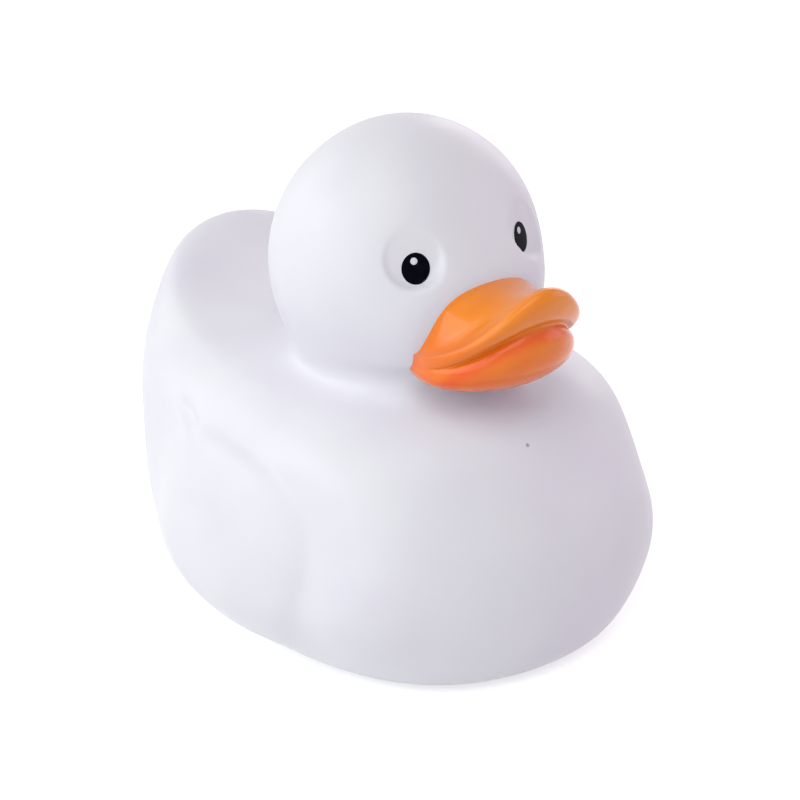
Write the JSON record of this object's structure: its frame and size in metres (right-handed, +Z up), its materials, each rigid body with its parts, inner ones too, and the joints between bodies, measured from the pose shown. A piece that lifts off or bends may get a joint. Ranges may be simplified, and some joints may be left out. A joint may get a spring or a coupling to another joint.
{
  "type": "bath duck",
  "caption": "Hollow moulded bath duck on a flat base, with low wings, an upswept tail and a painted bill with a mouth line and an upturned lip.",
  "frame": {"origin": "middle of the bounding box in X and Y, on the flat underside", "axes": "+Z up, the bill points along -Y and the tail along +Y, +X is the duck's left side"},
  "size_m": [0.0734, 0.085, 0.0755],
  "materials": {
    "vinyl": "satin white soft vinyl; the bill is painted glossy orange and the eyes are printed black with a white catch-light"
  },
  "bodies": {
    "root": {"duck": "vinyl"}
  },
  "joints": []
}
